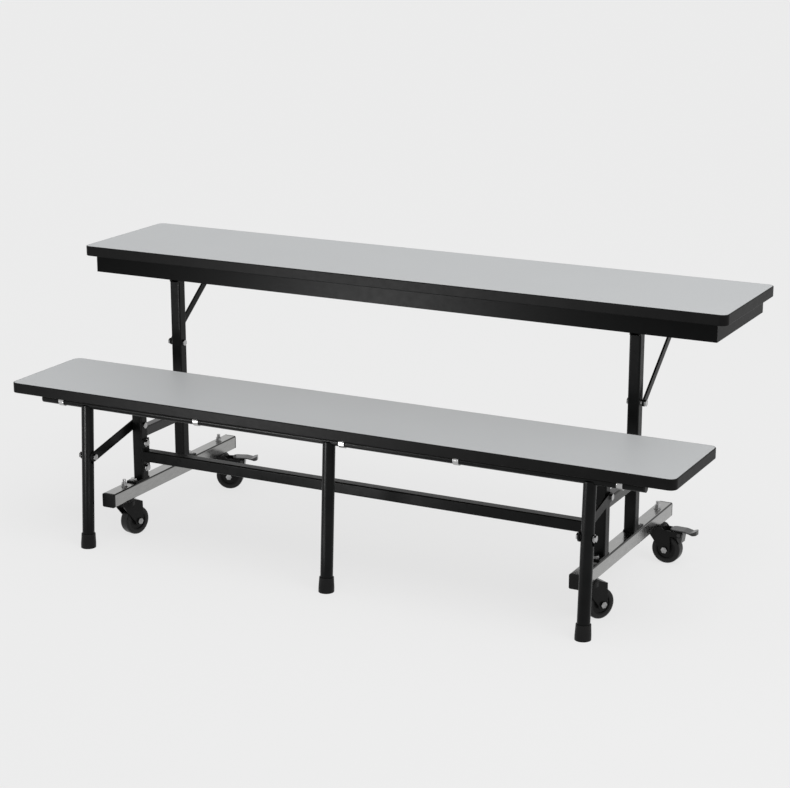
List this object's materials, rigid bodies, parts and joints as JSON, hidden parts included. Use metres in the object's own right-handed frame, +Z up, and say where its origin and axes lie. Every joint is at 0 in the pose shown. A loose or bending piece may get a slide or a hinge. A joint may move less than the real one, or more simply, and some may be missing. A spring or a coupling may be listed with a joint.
{
  "type": "mobile folding table with bench",
  "caption": "Long laminate table on a wheeled steel frame with an attached folding bench; the bench swings up and the table top tilts and slides for storage.",
  "frame": {"origin": "on the floor, under the middle of the unit's bounding box", "axes": "+X along the length of the table, +Y from the bench to the table, +Z up"},
  "size_m": [1.85, 0.728, 0.736],
  "materials": {
    "laminate": "fine matte grey laminate",
    "backing": "brown backing sheet",
    "board_core": "particle board",
    "edge_band": "satin black edge moulding",
    "apron_steel": "satin black powder coat",
    "frame_steel": "satin black powder coat",
    "clip_steel": "bright zinc plated sheet",
    "link_steel": "satin black powder coat",
    "zinc_steel": "zinc plated",
    "bolt_steel": "zinc plated",
    "cap_plastic": "black plastic",
    "slider_plastic": "black nylon",
    "tyre": "black rubber tread",
    "wheel_hub": "black plastic",
    "fork_steel": "black pressed steel",
    "lever_steel": "zinc plated pressed steel"
  },
  "bodies": {
    "base": {"runner_left": "zinc_steel", "runner_right": "zinc_steel", "runner_caps": "cap_plastic", "front_post_left": "frame_steel", "front_post_right": "frame_steel", "rear_post_left": "frame_steel", "rear_post_right": "frame_steel", "cross_links": "link_steel", "stretcher": "frame_steel", "bench_sleeves": "frame_steel", "pivot_bolts": "bolt_steel", "frame_bolts": "bolt_steel"},
    "bench": {"bench_core": "board_core", "bench_laminate": "laminate", "bench_backing": "backing", "bench_edge_band": "edge_band", "bench_rear_tube": "frame_steel", "bench_clips": "clip_steel", "bench_tube_plugs": "cap_plastic"},
    "leg_frame": {"front_tube": "frame_steel", "leg_left": "frame_steel", "leg_middle": "frame_steel", "leg_right": "frame_steel", "leg_caps": "cap_plastic"},
    "brace_left": {"brace_left": "frame_steel", "brace_bolt_left": "bolt_steel"},
    "brace_right": {"brace_right": "frame_steel", "brace_bolt_right": "bolt_steel"},
    "shoe_left": {"shoe_left": "slider_plastic"},
    "shoe_right": {"shoe_right": "slider_plastic"},
    "table": {"table_core": "board_core", "table_laminate": "laminate", "table_backing": "backing", "table_edge_band": "edge_band", "apron_front": "apron_steel", "apron_rear": "apron_steel", "apron_ends": "apron_steel", "table_tracks": "frame_steel", "strut_hooks": "frame_steel", "table_screws": "bolt_steel"},
    "strut_left": {"strut_left": "frame_steel"},
    "strut_right": {"strut_right": "frame_steel"},
    "caster_front_left": {"fork_front_left": "fork_steel", "axle_front_left": "bolt_steel"},
    "wheel_front_left": {"hub_front_left": "wheel_hub", "tyre_front_left": "tyre"},
    "caster_front_right": {"fork_front_right": "fork_steel", "axle_front_right": "bolt_steel"},
    "wheel_front_right": {"hub_front_right": "wheel_hub", "tyre_front_right": "tyre"},
    "caster_rear_left": {"fork_rear_left": "fork_steel", "axle_rear_left": "bolt_steel"},
    "wheel_rear_left": {"hub_rear_left": "wheel_hub", "tyre_rear_left": "tyre"},
    "brake_rear_left": {"brake_lever_rear_left": "lever_steel"},
    "caster_rear_right": {"fork_rear_right": "fork_steel", "axle_rear_right": "bolt_steel"},
    "wheel_rear_right": {"hub_rear_right": "wheel_hub", "tyre_rear_right": "tyre"},
    "brake_rear_right": {"brake_lever_rear_right": "lever_steel"}
  },
  "joints": [
    {"name": "bench_fold", "type": "hinge", "parent": "base", "child": "bench", "pos_m": [0, -0.10997, 0.3884], "axis": [-1, 0, 0], "range_deg": [0, 90]},
    {"name": "leg_fold", "type": "hinge", "parent": "bench", "child": "leg_frame", "pos_m": [0, -0.32297, 0.3884], "axis": [1, 0, 0], "range_deg": [0, 64]},
    {"name": "brace_swing_left", "type": "hinge", "parent": "base", "child": "brace_left", "pos_m": [-0.687, -0.14297, 0.291], "axis": [-1, 0, 0], "range_deg": [0, 92]},
    {"name": "brace_swing_right", "type": "hinge", "parent": "base", "child": "brace_right", "pos_m": [0.687, -0.14297, 0.291], "axis": [-1, 0, 0], "range_deg": [0, 92]},
    {"name": "table_tilt", "type": "hinge", "parent": "base", "child": "shoe_left", "pos_m": [-0.668, 0.06103, 0.667], "axis": [1, 0, 0], "range_deg": [0, 80]},
    {"name": "table_slide", "type": "slide", "parent": "shoe_left", "child": "table", "axis": [0, -1, 0], "range_m": [0, 0.126]},
    {"name": "shoe_tilt_right", "type": "hinge", "parent": "base", "child": "shoe_right", "pos_m": [0.668, 0.06103, 0.667], "axis": [1, 0, 0], "range_deg": [0, 80]},
    {"name": "strut_swing_left", "type": "hinge", "parent": "base", "child": "strut_left", "pos_m": [-0.6905, 0.06103, 0.475], "axis": [1, 0, 0], "range_deg": [0, 49]},
    {"name": "strut_swing_right", "type": "hinge", "parent": "base", "child": "strut_right", "pos_m": [0.6905, 0.06103, 0.475], "axis": [1, 0, 0], "range_deg": [0, 49]},
    {"name": "swivel_front_left", "type": "hinge", "parent": "base", "child": "caster_front_left", "pos_m": [-0.668, -0.22397, 0.1025], "axis": [0, 0, 1], "continuous": true},
    {"name": "roll_front_left", "type": "hinge", "parent": "caster_front_left", "child": "wheel_front_left", "pos_m": [-0.66026, -0.19292, 0.0385], "axis": [-0.9703, 0.2419, 0], "continuous": true},
    {"name": "swivel_front_right", "type": "hinge", "parent": "base", "child": "caster_front_right", "pos_m": [0.668, -0.22397, 0.1025], "axis": [0, 0, 1], "continuous": true},
    {"name": "roll_front_right", "type": "hinge", "parent": "caster_front_right", "child": "wheel_front_right", "pos_m": [0.684, -0.19626, 0.0385], "axis": [-0.866, 0.5, 0], "continuous": true},
    {"name": "swivel_rear_left", "type": "hinge", "parent": "base", "child": "caster_rear_left", "pos_m": [-0.668, 0.25203, 0.1025], "axis": [0, 0, 1], "continuous": true},
    {"name": "roll_rear_left", "type": "hinge", "parent": "caster_rear_left", "child": "wheel_rear_left", "pos_m": [-0.63813, 0.2635, 0.0385], "axis": [-0.3584, 0.9336, 0], "continuous": true},
    {"name": "brake_rear_left", "type": "hinge", "parent": "caster_rear_left", "child": "brake_rear_left", "pos_m": [-0.60265, 0.27712, 0.084], "axis": [-0.3584, 0.9336, 0], "range_deg": [0, 8]},
    {"name": "swivel_rear_right", "type": "hinge", "parent": "base", "child": "caster_rear_right", "pos_m": [0.668, 0.25203, 0.1025], "axis": [0, 0, 1], "continuous": true},
    {"name": "roll_rear_right", "type": "hinge", "parent": "caster_rear_right", "child": "wheel_rear_right", "pos_m": [0.69996, 0.25036, 0.0385], "axis": [0.0523, 0.9986, 0], "continuous": true},
    {"name": "brake_rear_right", "type": "hinge", "parent": "caster_rear_right", "child": "brake_rear_right", "pos_m": [0.7379, 0.24837, 0.084], "axis": [0.0523, 0.9986, 0], "range_deg": [0, 8]}
  ],
  "couplings": [
    {"joint": "leg_fold", "follows": "bench_fold", "ratio": 0.70703},
    {"joint": "brace_swing_left", "follows": "bench_fold", "ratio": 1.0214},
    {"joint": "brace_swing_right", "follows": "bench_fold", "ratio": 1.0214},
    {"joint": "table_slide", "follows": "table_tilt", "m_per_rad": 0.090121},
    {"joint": "shoe_tilt_right", "follows": "table_tilt", "ratio": 1},
    {"joint": "strut_swing_left", "follows": "table_tilt", "ratio": 0.60803},
    {"joint": "strut_swing_right", "follows": "table_tilt", "ratio": 0.60803}
  ]
}
